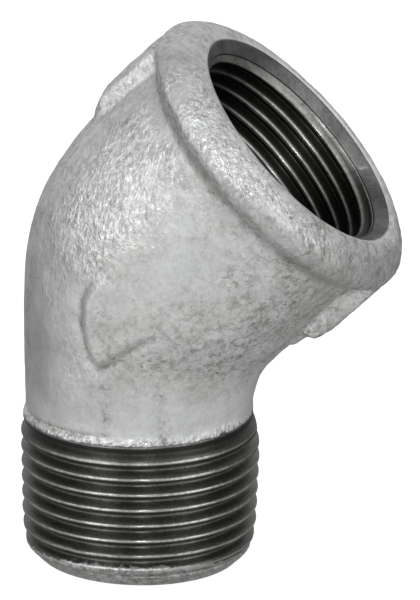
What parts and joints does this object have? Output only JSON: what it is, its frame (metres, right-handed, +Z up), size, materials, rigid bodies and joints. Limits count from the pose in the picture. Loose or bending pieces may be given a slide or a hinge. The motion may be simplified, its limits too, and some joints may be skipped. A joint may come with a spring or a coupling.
{
  "type": "pipe elbow",
  "caption": "Galvanized 45 degree male-and-female threaded pipe elbow with a beaded socket and an external taper thread.",
  "frame": {"origin": "middle of the box round the elbow, on the plane of the male end face; the male thread's axis is parallel to Z at x = -7.595 mm, y = 0", "axes": "+Z up along the male thread's axis, from the male end into the elbow; the socket's axis lies in the XZ plane and leans 45 degrees from +Z towards +X; +Y completes the right-handed frame"},
  "size_m": [0.042, 0.0368, 0.0612],
  "materials": {
    "cut_iron": "bare malleable iron, threads cut by a die and a tap, dark oily satin with bright crests",
    "dipped_zinc": "hot-dip zinc over cast skin, light grey, dimpled and mottled, satin with small bright glints",
    "bore_zinc": "hot-dip zinc in the waterway, dull grey, slightly rough"
  },
  "bodies": {
    "root": {"elbow_casting": "cut_iron", "outer_zinc_coating": "dipped_zinc", "waterway_zinc_coating": "bore_zinc"}
  },
  "joints": []
}
